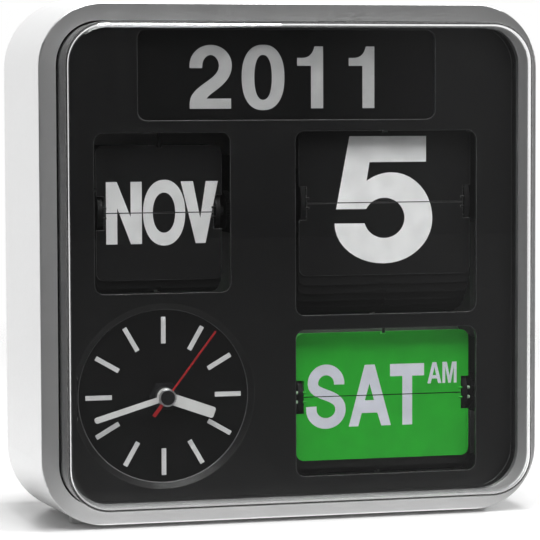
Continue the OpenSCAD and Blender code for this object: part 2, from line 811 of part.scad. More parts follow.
// A leaf on the back of the face whose tip hangs in the notch of the upper card
module stop_finger(u) {
    top = max(half(u), u[5][3] - u[4]) + finger_rise;
    translate([-finger_w / 2, top, face_back_z - finger_t]) cube([finger_w, finger_base_h, finger_t]);
    translate([-finger_w / 2, top, finger_tip_z]) cube([finger_w, finger_t, face_back_z - finger_tip_z]);
    translate([-finger_w / 2, half(u) - finger_hang, finger_tip_z])
        cube([finger_w, top + finger_t - half(u) + finger_hang, finger_t]);
}

module month_bracket() color("dimgray") at_unit(MONTH) bracket(MONTH);
module month_drum() color(INK) at_unit(MONTH) drum(MONTH);
module month_card_pack() color("#1d1d1f") at_unit(MONTH) card_pack(MONTH);
module month_upper_card() color("#1d1d1f") at_unit(MONTH) upper_card(MONTH);
module month_lower_card() color("#1d1d1f") at_unit(MONTH) lower_card(MONTH);
module month_stop_finger() color("#2a2a2c") at_unit(MONTH) stop_finger(MONTH);
module month_motor() color("silver") at_unit(MONTH) motor(MONTH);
module month_pinion() color("ivory") at_unit(MONTH) pinion(MONTH);

module date_bracket() color("dimgray") at_unit(DATE) bracket(DATE);
module date_drum() color(INK) at_unit(DATE) drum(DATE);
module date_card_pack() color("#1d1d1f") at_unit(DATE) card_pack(DATE);
module date_upper_card() color("#1d1d1f") at_unit(DATE) upper_card(DATE);
module date_lower_card() color("#1d1d1f") at_unit(DATE) lower_card(DATE);
module date_stop_finger() color("#2a2a2c") at_unit(DATE) stop_finger(DATE);
module date_motor() color("silver") at_unit(DATE) motor(DATE);
module date_pinion() color("ivory") at_unit(DATE) pinion(DATE);

module weekday_bracket() color("dimgray") at_unit(WEEKDAY) bracket(WEEKDAY);
module weekday_drum() color(INK) at_unit(WEEKDAY) drum(WEEKDAY);
module weekday_card_pack() color("forestgreen") at_unit(WEEKDAY) card_pack(WEEKDAY);
module weekday_upper_card() color("forestgreen") at_unit(WEEKDAY) upper_card(WEEKDAY);
module weekday_lower_card() color("forestgreen") at_unit(WEEKDAY) lower_card(WEEKDAY);
module weekday_stop_finger() color("#2a2a2c") at_unit(WEEKDAY) stop_finger(WEEKDAY);
module weekday_motor() color("silver") at_unit(WEEKDAY) motor(WEEKDAY);
module weekday_pinion() color("ivory") at_unit(WEEKDAY) pinion(WEEKDAY);

// Rear cover, battery bay, board and buttons

function button_x(n) = board_x + (n - 1) * button_step;

module at_posts() {
    for (x = [-1, 1])
        for (y = [-1, 1])
            translate([board_x + x * (board_w / 2 - post_inset), y * (board_h / 2 - post_inset) - board_y, 0])
                children();
}

module bay_block(w, h, a, b) {
    translate([-bay_x, bay_y, 0]) slab(a, b) square([w, h], center = true);
}

// The track that the door slides down in, grown by g on each side
module door_track(g, a, b) {
    translate([-bay_x, bay_y - door_travel / 2, 0]) slab(a, b)
        square([door_w + 2 * g, door_h + door_travel + 2 * rear_clear], center = true);
}

module rear_cover() color("silver") to_part() difference() {
    union() {
        slab(rear_in, case_d) round_square(raised_w, raised_h, rear_r);
        difference() {
            union() {
                slab(rim_in, shell_d) round_square(case_w - 2 * rabbet_w - 2 * rear_clear,
                    case_h - 2 * rabbet_w - 2 * rear_clear, case_r - rabbet_w - rear_clear);
                slab(shell_d - eps, rear_in + eps) round_square(raised_w, raised_h, rear_r);
            }
            slab(rim_in - 1, rear_in + 2 * eps)
                round_square(raised_w - 2 * rear_t, raised_h - 2 * rear_t, rear_r - rear_t);
        }
        bay_block(bay_w + 2 * bay_wall, bay_h + 2 * bay_wall, bay_floor - bay_wall, rear_in + eps);
        translate([-dial_x, -dial_y - knob_drop, 0])
            rod_z(-rear_in - eps, well_back - knob_front + well_floor, knob_r + knob_gap + well_floor);
        at_posts() rod_z(-rear_in - eps, -board_back, post_r);
    }
    bay_block(bay_w, bay_h, bay_floor, case_d + 1);
    door_track(rear_clear, case_d - door_slot, case_d + 1);
    door_track(rear_clear + tongue_w, case_d - door_slot, case_d - door_slot + door_t / 2 + 2 * rear_clear);
    translate([-dial_x, -dial_y - knob_drop, 0]) {
        rod_z(-case_d - 1, well_back - knob_front, knob_r + knob_gap);
        rod_z(-case_d, 0, knob_shaft_r + run_clear);
    }
    at_pillars() {
        rod_z(-case_d - 1, long_head_h - case_d, long_head_r + 0.2);
        rod_z(-case_d - 1, 0, pillar_hole_r);
    }
    at_posts() rod_z(-board_back - 8, 0, screw_r + screw_clear);
    for (n = [0:2])
        translate([button_x(n), -board_y, 0]) rod_z(-case_d - 1, 0, button_r + run_clear);
}

module battery_door() color("silver") to_part() translate([-bay_x, bay_y, 0]) {
    inside = case_d - door_slot + rear_clear;
    slab(inside, inside + door_t) square([door_w, door_h], center = true);
    slab(inside, inside + door_t / 2) square([door_w + 2 * tongue_w, door_h], center = true);
    for (k = [0:3])
        translate([0, -door_h / 2 + 3 + 1.6 * k, 0]) slab(inside + door_t - eps, inside + door_t + rear_clear)
            square([16, 0.8], center = true);
}

module at_cells() {
    for (y = [-1, 1])
        translate([-bay_x, bay_y + y * (cell_d / 2 + 0.4), -bay_floor - cell_d / 2]) rotate([0, 0, 90 - 90 * y])
            children();
}

module batteries() color("#3a3d42") to_part() at_cells() {
    rod_x(-cell_l / 2, cell_l / 2 - 1.4, cell_d / 2);
    rod_x(cell_l / 2 - 1.4 - eps, cell_l / 2, 2.7);
}

module battery_contacts() color("goldenrod") to_part() at_cells() {
    gap = (bay_w - cell_l) / 2;
    for (side = [0, 1])
        mirror([side, 0, 0]) {
            translate([bay_w / 2 - leaf_t, -leaf_w / 2, -cell_d / 2]) cube([leaf_t, leaf_w, leaf_h]);
            rod_x(cell_l / 2, cell_l / 2 + gap - leaf_t + eps, side == 0 ? nub_r : spring_r);
        }
}

module circuit_board() color("darkgreen") to_part() {
    difference() {
        translate([board_x, -board_y, 0]) slab(board_front, board_back) square([board_w, board_h], center = true);
        at_posts() rod_z(-case_d, 0, screw_r + screw_clear);
    }
    translate([board_x, -board_y, 0]) {
        translate(chip_at) slab(board_front - chip_t, board_front + eps) square(chip, center = true);
        translate(crystal_at) slab(board_front - crystal_t, board_front + eps)
            round_square(crystal[0], crystal[1], crystal_r);
        for (n = [-1:1])
            translate([plug_step * n, plug_at]) slab(board_front - plug_t, board_front + eps)
                square(plug, center = true);
    }
}

module switches() color("#2b2b2d") to_part()
    for (n = [0:2])
        translate([button_x(n), -board_y, 0]) {
            slab(board_back, board_back + switch_h) square(switch_w, center = true);
            rod_z(-board_back - switch_h - plunger_h, -board_back - switch_h + eps, plunger_r);
        }

module button(n) to_part() translate([button_x(n), -board_y, 0]) {
    plunger_back = board_back + switch_h + plunger_h;
    rod_z(-button_head, -rear_in + button_gap + button_flange, button_r);
    rod_z(-rear_in + button_gap, -rear_in + button_gap + button_flange, button_r + 1.2);
    rod_z(-rear_in + button_gap, -plunger_back - button_travel - button_gap, button_stem_r);
}

module month_button() color("dimgray") button(0);
module date_button() color("dimgray") button(1);
module weekday_button() color("dimgray") button(2);

// Feet and screws

module foot(inset, depth) {
    for (x = [-1, 1])
        translate([x * (case_w / 2 - inset), -case_h / 2 - base_drop - foot_h, -depth]) rotate([-90, 0, 0])
            cylinder(h = foot_h + case_r / 3, d = foot_d);
}

module feet() color("gray") to_part() difference() {
    union() {
        foot(foot_inset, foot_setback);
        foot(foot_back_inset, shell_d - foot_back_setback);
    }
    case_sides(case_r / 2);
}

module cover_screws() color("#303032") to_part() at_pillars() {
    rod_z(-case_d + 0.2, long_head_h - case_d, long_head_r);
    rod_z(long_head_h - case_d - eps, long_screw_l - rear_in - 1, pillar_hole_r - screw_clear);
}

module small_screw(z, up) {
    rod_z(up > 0 ? z - screw_head_h : z, up > 0 ? z : z + screw_head_h, screw_head_r);
    rod_z(up > 0 ? z - eps : z - small_screw_l, up > 0 ? z + small_screw_l : z + eps, screw_r);
}

module bracket_screws() color("silver") to_part()
    for (u = UNITS)
        at_tabs(u) small_screw(tab_z - plate_t, 1);

module board_screws() color("silver") to_part() at_posts() small_screw(-board_front, -1);

front_case();
rear_cover();
clear_cover();
face_plate();
year_card();
dial_plate();
hour_markers();
quartz_movement();
movement_nut();
hour_hand();
minute_hand();
second_hand();
hand_cap();
set_knob();
month_bracket();
month_drum();
month_card_pack();
month_upper_card();
month_lower_card();
month_stop_finger();
month_motor();
month_pinion();
date_bracket();
date_drum();
date_card_pack();
date_upper_card();
date_lower_card();
date_stop_finger();
date_motor();
date_pinion();
weekday_bracket();
weekday_drum();
weekday_card_pack();
weekday_upper_card();
weekday_lower_card();
weekday_stop_finger();
weekday_motor();
weekday_pinion();
month_button();
date_button();
weekday_button();
battery_door();
batteries();
battery_contacts();
circuit_board();
switches();
feet();
cover_screws();
bracket_screws();
board_screws();
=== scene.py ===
"""Looks of the flip calendar clock: finishes, printed readings, small fittings, light and camera.

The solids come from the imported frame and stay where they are. Blender works in metres, and MM turns
millimetres into metres. Outlines on the face are in millimetres, x to the right and y up from the
middle of the face, as the clock is seen from the front.
"""

import json
import math
import bmesh
import bpy
from mathutils import Matrix, Vector


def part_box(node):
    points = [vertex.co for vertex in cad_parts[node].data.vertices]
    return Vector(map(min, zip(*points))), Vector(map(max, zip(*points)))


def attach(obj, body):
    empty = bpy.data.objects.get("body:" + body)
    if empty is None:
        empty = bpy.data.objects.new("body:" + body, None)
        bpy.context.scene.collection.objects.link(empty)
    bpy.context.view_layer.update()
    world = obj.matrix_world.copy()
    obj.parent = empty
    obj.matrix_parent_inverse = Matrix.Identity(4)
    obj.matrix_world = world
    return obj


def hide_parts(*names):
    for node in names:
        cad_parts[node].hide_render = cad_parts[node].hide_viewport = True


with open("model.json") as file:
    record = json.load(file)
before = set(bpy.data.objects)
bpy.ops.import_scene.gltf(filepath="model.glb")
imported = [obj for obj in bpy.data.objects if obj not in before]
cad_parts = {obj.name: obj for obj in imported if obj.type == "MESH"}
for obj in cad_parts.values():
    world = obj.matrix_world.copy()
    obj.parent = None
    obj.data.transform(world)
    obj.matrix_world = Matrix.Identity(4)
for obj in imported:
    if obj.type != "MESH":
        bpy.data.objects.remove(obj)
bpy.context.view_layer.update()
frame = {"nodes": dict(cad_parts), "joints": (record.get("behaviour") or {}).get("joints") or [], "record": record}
nodes = frame["nodes"]
joints = {j["name"]: j for j in frame["joints"]}
MM = 0.001

# Places read from the frame: the middle height of the face and the front of the bezel
cover_low, cover_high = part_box("clear_cover")
CENTRE_Z = (cover_low.z + cover_high.z) / 2
BEZEL_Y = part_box("front_case")[0].y

# Noise in the finishes, and the levels of it that roughness and colour spread over
NOISE_DETAIL = 3.0
ROUGH_SPAN = (0.3, 0.7)
COLOUR_SPAN = (0.32, 0.68)
RELIEF_STRENGTH = 0.5

# Rubbed edges and painted edge highlights, with the cosines of the slope at which the lighter colour starts and is
# full
EDGE_SAMPLES = 8
RUB_AND_HIGHLIGHT_SPAN = (0.99, 0.85)

# Clear, moulded and printed surfaces
CLEAR_IOR = 1.49
BLOTCH, LIGHTER = 9 * MM, 1.15
SHEEN_PATCH, SMOOTHER, ROUGHER = 4 * MM, 0.05, 0.06
MOULD_GRAIN, MOULD_RELIEF = 0.35 * MM, 0.02 * MM
SATIN_RELIEF, CARD_RELIEF = 0.003 * MM, 0.0006 * MM
USUAL_SHINE = 0.5

# Metals and silver paint
METAL_BLOTCH, METAL_DARKER = 6 * MM, 0.93
METAL_GRAIN, METAL_DRIFT, METAL_RELIEF = 0.5 * MM, 0.06, 0.004 * MM
SILVER_FLAKE, SILVER_PATCH, SILVER_GRAIN = 0.22 * MM, 3 * MM, 1.4 * MM
SILVER_METAL, SILVER_ROUGH, SILVER_DRIFT = 0.88, 0.36, 0.03

# Outlines of the readings, in millimetres
ARC_STEPS = 40
BEND_STEPS = ARC_STEPS // 3
CAP, DAY_CAP, SMALL_CAP = 25.35, 25.7, 8.9
STROKE_W = 4.5
YEAR_BASE, YEAR_FIRST, YEAR_STEP = 62.45, -32.4, 22.05
MONTH_BASE = 7.55
DATE_BASE, DATE_X = -2.3, 43.0
DAY_BASE, SMALL_BASE = -70.3, -53.25

# Cards and the ink on them
CARD_T = 0.3 * MM
INK_T = 0.03 * MM
INK_WELD = 0.001 * MM
SPLIT_GAP = 0.2 * MM

# Painted shade on the waiting weekday cards: colour below the front upper card, colour at its top, and how far
# down that reaches
PACK_SHADE_BELOW = (0.006, 0.006, 0.0063)
PACK_SHADE_TOP = (0.003, 0.025, 0.004)
PACK_SHADE_REACH = 0.9 * MM

# Cap over the hands, in shares of its solid's radius and height
CAP_STEPS = 64
RIM_SHAPE = ((0.93, 0.0), (1.0, 0.12), (1.0, 0.55), (0.95, 0.72), (0.87, 0.74))
DOME_WIDTH, DOME_FOOT, DOME_RISE = 0.86, 0.62, 0.36
DOME_ANGLES = range(0, 90, 10)

# Headed ends of the card pins: radius and height of each step
PIN_STEPS = 24
PIN_HALF = 0.7 * MM
PIN_SHAPE = ((0.45 * MM, 0.0), (0.75 * MM, 0.1 * MM), (0.75 * MM, 1.1 * MM), (0.5 * MM, 2 * PIN_HALF))

# Marks on the back, in millimetres, apart from the height of the door's rib
SCREW_R, CROSS_L, CROSS_W = 3.0, 3.8, 0.8
ARROW_STEM, ARROW_HEAD = 1, 3.5
ARROW_TAIL, ARROW_NECK, ARROW_TIP = 5, -1, -6
ARROW_RAISE = 4
DOOR_RIB = 0.15 * MM

# Floor and surroundings
FLOOR_SIZE, FLOOR_DROP = 4.0, 0.2 * MM
FLOOR_LEVEL, FLOOR_ROUGH, FLOOR_SHINE, FLOOR_LIFT = 0.86, 0.25, 0.3, 0.02
FLOOR_NEAR, FLOOR_FAR = 0.6, 1.0
AMBIENT = 0.2

# Dark sheet in front: its edges, then the strengths of its glow and where they change
FLAG_LEFT, FLAG_RIGHT, FLAG_FAR, FLAG_TOP, FLAG_WING = -2.6, 8.0, -2.2, 5.0, 2.0
FLAG_NEAR, FLAG_DARK, FLAG_LIFT = -0.030, -0.16, 2 * MM
FLAG_LEVEL, FLAG_ROUGH = 0.02, 0.9
FLAG_PALE, FLAG_GREY = 0.5, 0.02
FLAG_SIDE, FLAG_SIDE_WIDTH, FLAG_SLANT = 0.08, 0.16, 0.277

# Softboxes: place, aim, size and power in watts
SOFTBOXES = {
    "overhead": ((0.1, -0.05, 1.7), (0.1, -0.04, 0), (0.6, 0.35), 26.0),
    "front_fill": ((-0.1, -1.0, 1.5), (0, 0, 0.1), (1.0, 0.8), 17.0),
}

# Camera: yaw, pitch and roll in degrees, and its place in millimetres from the middle of the bezel's front
FRAME_PX = 540
SENSOR = 36.0
CAMERA_ANGLES = (-14.994, 3.662, -0.189)
CAMERA_FOCAL_PX = 2699.4
CAMERA_AT = (-293.93, -1059.68, 67.04)
CAMERA_CLIP = (0.05, 50.0)


# Shader nodes

def principled(mat):
    """The material's Principled shader."""
    return mat.node_tree.nodes["Principled BSDF"]


def own_place(tree):
    """The object's own coordinates."""
    return tree.nodes.new("ShaderNodeTexCoord").outputs["Object"]


def own_axes(tree):
    """The object's own coordinates, one socket for each of X, Y and Z."""
    parts = tree.nodes.new("ShaderNodeSeparateXYZ")
    tree.links.new(own_place(tree), parts.inputs["Vector"])
    return parts.outputs


def calculate(tree, operation, *values):
    """A Math node that takes sockets or plain numbers."""
    node = tree.nodes.new("ShaderNodeMath")
    node.operation = operation
    for socket, value in zip(node.inputs, values):
        if isinstance(value, bpy.types.NodeSocket):
            tree.links.new(value, socket)
        else:
            socket.default_value = value
    return node.outputs["Value"]


def remap(tree, value, source, target):
    """A Map Range node from one pair of numbers to another, held at its ends."""
    node = tree.nodes.new("ShaderNodeMapRange")
    node.inputs["From Min"].default_value, node.inputs["From Max"].default_value = source
    node.inputs["To Min"].default_value, node.inputs["To Max"].default_value = target
    tree.links.new(value, node.inputs["Value"])
    return node.outputs["Result"]


def recolour(tree, factor, usual, colour):
    """The usual colour, which turns to another one as the factor goes to 1."""
    node = tree.nodes.new("ShaderNodeMix")
    node.data_type = "RGBA"
    node.inputs["B"].default_value = (*colour, 1.0)
    tree.links.new(factor, node.inputs["Factor"])
    tree.links.new(usual, node.inputs["A"])
    return node.outputs["Result"]


def seen_by_eye(tree, socket, seen, unseen):
    """Gives the socket one value for camera, glossy and transmission rays and another for the rest."""
    path = tree.nodes.new("ShaderNodeLightPath").outputs
    direct = calculate(tree, "MAXIMUM", path["Is Camera Ray"], path["Is Glossy Ray"])
    any_of = calculate(tree, "MAXIMUM", direct, path["Is Transmission Ray"])
    tree.links.new(remap(tree, any_of, (0.0, 1.0), (unseen, seen)), socket)


# Finishes

def grey(level):
    """A colour without a tint."""
    return (level, level, level)


def plain(name, colour, rough, metal=0.0, **sockets):
    """A Principled material whose constants sit on the shader's own sockets."""
    mat = bpy.data.materials.new(name)
    mat.use_nodes = True
    shader = principled(mat)
    shader.inputs["Base Color"].default_value = (*colour, 1.0)
    shader.inputs["Roughness"].default_value = rough
    shader.inputs["Metallic"].default_value = metal
    for socket, value in sockets.items():
        shader.inputs[socket.replace("_", " ")].default_value = value
    return mat


def noise(tree, size):
    """Noise over the object's own coordinates, with features of about that size in metres."""
    texture = tree.nodes.new("ShaderNodeTexNoise")
    texture.inputs["Scale"].default_value = 1.0 / size
    texture.inputs["Detail"].default_value = NOISE_DETAIL
    tree.links.new(own_place(tree), texture.inputs["Vector"])
    return texture.outputs["Fac"]


def vary_rough(mat, size, low, high):
    """Roughness that drifts between two values."""
    tree = mat.node_tree
    drift = remap(tree, noise(tree, size), ROUGH_SPAN, (low, high))
    tree.links.new(drift, principled(mat).inputs["Roughness"])


def vary_colour(mat, size, dark, light):
    """Colour that drifts between two values."""
    tree = mat.node_tree
    ramp = tree.nodes.new("ShaderNodeValToRGB")
    for stop, place, colour in zip(ramp.color_ramp.elements, COLOUR_SPAN, (dark, light)):
        stop.position = place
        stop.color = (*colour, 1.0)
    tree.links.new(noise(tree, size), ramp.inputs["Fac"])
    tree.links.new(ramp.outputs["Color"], principled(mat).inputs["Base Color"])


def grain(mat, size, height):
    """Fine surface relief of that height in metres."""
    tree = mat.node_tree
    bump = tree.nodes.new("ShaderNodeBump")
    bump.name = "relief"
    bump.inputs["Strength"].default_value = RELIEF_STRENGTH
    bump.inputs["Distance"].default_value = height
    tree.links.new(noise(tree, size), bump.inputs["Height"])
    tree.links.new(bump.outputs["Normal"], principled(mat).inputs["Normal"])


def edge_wear_and_highlight(mat, radius, colour):
    """Sharp edges that shine as if rounded to that radius in metres, with a lighter colour on them that is partly
    rubbing and partly a painted highlight.
    """
    tree = mat.node_tree
    base = principled(mat).inputs["Base Color"]
    rounded = tree.nodes.new("ShaderNodeBevel")
    rounded.samples = EDGE_SAMPLES
    rounded.inputs["Radius"].default_value = radius
    flat = tree.nodes.new("ShaderNodeNewGeometry")
    level = tree.nodes.new("ShaderNodeVectorMath")
    level.operation = "DOT_PRODUCT"
    tree.links.new(rounded.outputs["Normal"], tree.nodes["relief"].inputs["Normal"])
    tree.links.new(rounded.outputs["Normal"], level.inputs[0])
    tree.links.new(flat.outputs["True Normal"], level.inputs[1])
    rub_and_highlight = remap(tree, level.outputs["Value"], RUB_AND_HIGHLIGHT_SPAN, (0.0, 1.0))
    tree.links.new(recolour(tree, rub_and_highlight, base.links[0].from_socket, colour), base)


def clear_acrylic():
    """Clear sheet that lets shadow rays through, so that the face behind it is lit."""
    mat = plain("clear_acrylic", (0.985, 0.99, 0.99), 0.0, IOR=CLEAR_IOR, Transmission_Weight=1.0)
    tree = mat.node_tree
    path = tree.nodes.new("ShaderNodeLightPath")
    through = tree.nodes.new("ShaderNodeBsdfTransparent")
    mix = tree.nodes.new("ShaderNodeMixShader")
    tree.links.new(path.outputs["Is Shadow Ray"], mix.inputs["Fac"])
    tree.links.new(principled(mat).outputs["BSDF"], mix.inputs[1])
    tree.links.new(through.outputs["BSDF"], mix.inputs[2])
    tree.links.new(mix.outputs["Shader"], tree.nodes["Material Output"].inputs["Surface"])
    return mat


def silver_paint():
    """Silver paint with fine flakes."""
    mat = plain("silver_paint", grey(0.82), SILVER_ROUGH, metal=SILVER_METAL)
    vary_colour(mat, SILVER_FLAKE, grey(0.79), grey(0.86))
    vary_rough(mat, SILVER_PATCH, SILVER_ROUGH - SILVER_DRIFT, SILVER_ROUGH + SILVER_DRIFT)
    grain(mat, SILVER_GRAIN, METAL_RELIEF)
    return mat


def moulded(name, colour, rough, relief, shine):
    """Moulded plastic, rubber, card or ink."""
    mat = plain(name, colour, rough, Specular_IOR_Level=shine)
    vary_colour(mat, BLOTCH, colour, tuple(c * LIGHTER for c in colour))
    vary_rough(mat, SHEEN_PATCH, rough - SMOOTHER, rough + ROUGHER)
    grain(mat, MOULD_GRAIN, relief)
    return mat


def metal(name, colour, rough):
    """Bare or coated metal."""
    mat = plain(name, colour, rough, metal=1.0)
    vary_colour(mat, METAL_BLOTCH, tuple(c * METAL_DARKER for c in colour), colour)
    vary_rough(mat, METAL_GRAIN, rough - METAL_DRIFT, rough + METAL_DRIFT)
    grain(mat, METAL_GRAIN, METAL_RELIEF)
    return mat


# Colour, roughness, relief and shine of each moulded or printed finish
MOULDED = {
    "face_black": ((0.004, 0.004, 0.0042), 0.36, CARD_RELIEF, 0.4),
    "dial_black": ((0.002, 0.002, 0.0021), 0.5, CARD_RELIEF, 0.15),
    "card_black": ((0.004, 0.004, 0.0042), 0.45, CARD_RELIEF, 0.3),
    "card_green": ((0.010, 0.38, 0.016), 0.5, CARD_RELIEF, USUAL_SHINE),
    "pale_print": (grey(0.64), 0.5, CARD_RELIEF, USUAL_SHINE),
    "ink_year": (grey(0.41), 0.5, CARD_RELIEF, USUAL_SHINE),
    "ink_month": (grey(0.68), 0.5, CARD_RELIEF, USUAL_SHINE),
    "ink_date": (grey(0.87), 0.5, CARD_RELIEF, USUAL_SHINE),
    "ink_weekday": ((0.66, 0.67, 0.75), 0.5, CARD_RELIEF, USUAL_SHINE),
    "hand_satin": ((0.66, 0.66, 0.65), 0.42, SATIN_RELIEF, USUAL_SHINE),
    "hand_red": ((0.36, 0.010, 0.013), 0.4, SATIN_RELIEF, USUAL_SHINE),
    "pin_green": ((0.34, 0.50, 0.34), 0.4, SATIN_RELIEF, USUAL_SHINE),
    "cap_black": ((0.01, 0.01, 0.011), 0.2, SATIN_RELIEF, USUAL_SHINE),
    "movement_black": ((0.02, 0.02, 0.021), 0.5, MOULD_RELIEF, USUAL_SHINE),
    "knob_black": (grey(0.02), 0.42, MOULD_RELIEF, USUAL_SHINE),
    "button_grey": ((0.12, 0.12, 0.125), 0.45, MOULD_RELIEF, USUAL_SHINE),
    "drum_black": ((0.005, 0.005, 0.0052), 0.45, MOULD_RELIEF, 0.25),
    "pinion_white": ((0.78, 0.77, 0.71), 0.4, MOULD_RELIEF, USUAL_SHINE),
    "cell_wrap": ((0.06, 0.065, 0.075), 0.35, MOULD_RELIEF, USUAL_SHINE),
    "board_green": ((0.02, 0.12, 0.045), 0.4, MOULD_RELIEF, USUAL_SHINE),
    "switch_black": ((0.025, 0.025, 0.026), 0.45, MOULD_RELIEF, USUAL_SHINE),
    "foot_rubber": ((0.52, 0.52, 0.515), 0.6, MOULD_RELIEF, USUAL_SHINE),
}

# Colour and roughness of each metal
METALS = {
    "brass": ((0.78, 0.58, 0.27), 0.32),
    "bracket_steel": ((0.02, 0.02, 0.021), 0.5),
    "motor_can": ((0.62, 0.62, 0.63), 0.3),
    "screw_steel": ((0.56, 0.56, 0.57), 0.32),
}

# Radius and colour of the edges, whose lighter colour is partly rubbing and partly a painted highlight
EDGE_WEAR_AND_HIGHLIGHT = {
    "silver_paint": (0.3 * MM, grey(0.88)),
    "pack_black": (0.2 * MM, grey(0.04)),
    "face_black": (0.5 * MM, grey(0.15)),
    "card_black": (0.3 * MM, grey(0.22)),
}


def finishes():
    """The finished materials by name: the record's slots, the inks, the pins and the waiting cards."""
    made = {"clear_acrylic": clear_acrylic(), "silver_paint": silver_paint()}
    for name, look in MOULDED.items():
        made[name] = moulded(name, *look)
    for name, look in METALS.items():
        made[name] = metal(name, *look)
    made["pack_black"] = made["card_black"].copy()
    # Lighter edges: partly rubbing, partly painted highlight
    for name, look in EDGE_WEAR_AND_HIGHLIGHT.items():
        edge_wear_and_highlight(made[name], *look)
    return made


# Printed readings: a glyph is a list of closed outlines, with its base line at y = 0

def arc(cx, cy, rx, ry, start, end):
    """Points along part of an ellipse, angles in degrees from +x."""
    count = max(2, round(ARC_STEPS * abs(end - start) / 360) + 1)
    turn = [math.radians(start + (end - start) * i / (count - 1)) for i in range(count)]
    return [(cx + rx * math.cos(a), cy + ry * math.sin(a)) for a in turn]


def oval(cx, cy, rx, ry, power=2.3):
    """A closed ring between an ellipse, at power 2, and a rectangle."""
    ring = []
    for i in range(2 * ARC_STEPS):
        a = math.pi * i / ARC_STEPS
        c, s = math.cos(a), math.sin(a)
        x = math.copysign(abs(c) ** (2 / power), c)
        y = math.copysign(abs(s) ** (2 / power), s)
        ring.append((cx + rx * x, cy + ry * y))
    return ring


def bend(a, b, c, d):
    """Points along a cubic curve from a to d, drawn towards b and c."""
    made = []
    for i in range(BEND_STEPS + 1):
        t = i / BEND_STEPS
        k = ((1 - t) ** 3, 3 * t * (1 - t) ** 2, 3 * t * t * (1 - t), t ** 3)
        made.append(tuple(sum(w * p[n] for w, p in zip(k, (a, b, c, d))) for n in (0, 1)))
    return made


def stroke(line, width):
    """The outline of a band of that width along a line of points."""
    left, right = [], []
    for i, (x, y) in enumerate(line):
        before, after = line[max(0, i - 1)], line[min(len(line) - 1, i + 1)]
        along = Vector((after[0] - before[0], after[1] - before[1])).normalized()
        left.append((x - along.y * width / 2, y + along.x * width / 2))
        right.append((x + along.y * width / 2, y - along.x * width / 2))
    return left + right[::-1]


def digit_two():
    foot = [(-8.8, 0), (8.5, 0), (8.5, 4.1)]
    under = bend((-1.75, 4.1), (-0.4, 6.8), (8.9, 9.8), (8.9, 17.6))
    outer = arc(0.05, 17.6, 8.85, 8.3, 0, 180)
    tip = [(-8.75, 16.5), (-3.55, 16.5)]
    inner = arc(0, 17.3, 3.5, 4.5, 180, 0)
    above = bend((3.5, 17.3), (3.4, 11.5), (-8.5, 9.6), (-8.8, 2.4))
    return [foot + under + outer + tip + inner + above]


def digit_zero():
    return [oval(0, 12.67, 9.03, 13.33), oval(0, 12.7, 3.7, 9.16)]


def digit_one():
    stem = [(-1.7, 0), (3.45, 0), (3.45, CAP)]
    flag = bend((-0.2, CAP), (-0.9, 22.3), (-2.6, 20.75), (-5.2, 20.65))
    return [stem + flag + [(-7.6, 20.65), (-7.6, 17.4), (-1.7, 17.4)]]


def digit_five():
    top = [(-15.0, 53.1), (18.4, 53.0), (18.4, 42.26), (-6.3, 42.26)]
    shoulder = bend((-7.6, 34.5), (-4.4, 36.7), (-0.6, 37.95), (3.2, 37.95))
    right = arc(3.2, 18.5, 18.0, 19.45, 90, 0)
    low = arc(0.06, 18.5, 21.14, 18.5, 0, -90)
    left = arc(0.06, 16.95, 21.56, 16.95, -90, -180)
    counter = arc(0.1, 19.0, 8.85, 8.4, -165, 153)
    return [top + shoulder + right + low + left + counter + [(-20.8, 22.85)]]


def digit_six():
    crown = arc(1.0, 27.5, 21.2, 25.6, 24, 180)
    bowl = arc(0, 17.5, 20.6, 17.5, 180, 478)
    inside = arc(1.5, 34.0, 9.6, 9.2, 190, 20)
    return [crown + bowl + inside, oval(0.4, 17.4, 8.9, 8.4, 2.0)]


def letter_n():
    left = [(0, 0), (4.62, 0), (4.62, 14.8)]
    right = [(10.3, 0), (14.85, 0), (14.85, CAP), (10.2, CAP)]
    return [left + right + [(10.2, 11.0), (4.5, CAP), (0, CAP)]]


def letter_o():
    return [oval(8.8, 12.65, 8.8, 13.41, 2.15), oval(8.72, 12.67, 4.7, 8.21, 2.1)]


def letter_v():
    left = [(0, CAP), (5.15, CAP), (8.15, 10.15)]
    return [left + [(10.55, CAP), (15.64, CAP), (10.35, 0), (6.2, 0)]]


def letter_d():
    outer = arc(7.0, 12.68, 8.4, 12.67, -90, 90)
    inner = arc(6.6, 12.68, 4.3, 7.9, -90, 90)
    return [[(0, 0)] + outer + [(0, CAP)], [(4.6, 4.78)] + inner + [(4.6, 20.58)]]


def letter_e():
    low = [(0, 0), (12.6, 0), (12.6, 4.7), (4.6, 4.7)]
    middle = [(4.6, 10.6), (11.6, 10.6), (11.6, 15.1), (4.6, 15.1)]
    high = [(4.6, 20.65), (12.4, 20.65), (12.4, CAP), (0, CAP)]
    return [low + middle + high]


def letter_c():
    return [stroke(arc(8.4, 12.68, 6.3, 10.9, 46, 314), STROKE_W)]


def letter_s():
    top = arc(0.05, 18.3, 5.7, 5.75, -5, 180)
    spine = bend((-5.65, 18.2), (-5.6, 12.9), (6.3, 14.4), (6.3, 7.5))
    low = arc(0, 7.4, 6.3, 5.75, 0, -180)
    return [stroke(top + spine[1:] + low[1:] + [(-6.35, 8.8)], STROKE_W)]


def letter_a():
    legs = [(0, 0), (4.1, 0), (5.65, 5.5), (12.45, 5.5), (14.2, 0), (18.4, 0)]
    hole = [(6.97, 10.8), (11.0, 10.8), (9.05, 17.8)]
    return [legs + [(11.3, DAY_CAP), (6.95, DAY_CAP)], hole]


def letter_t():
    right = [(5.4, 0), (9.7, 0), (9.7, 20.55), (14.95, 20.55), (14.95, DAY_CAP)]
    return [right + [(0, DAY_CAP), (0, 20.55), (5.4, 20.55)]]


def small_a():
    legs = [(0, 0), (1.45, 0), (1.95, 2.0), (4.25, 2.0), (4.75, 0), (6.2, 0)]
    hole = [(2.3, 3.4), (3.9, 3.4), (3.1, 6.9)]
    return [legs + [(3.95, SMALL_CAP), (2.25, SMALL_CAP)], hole]


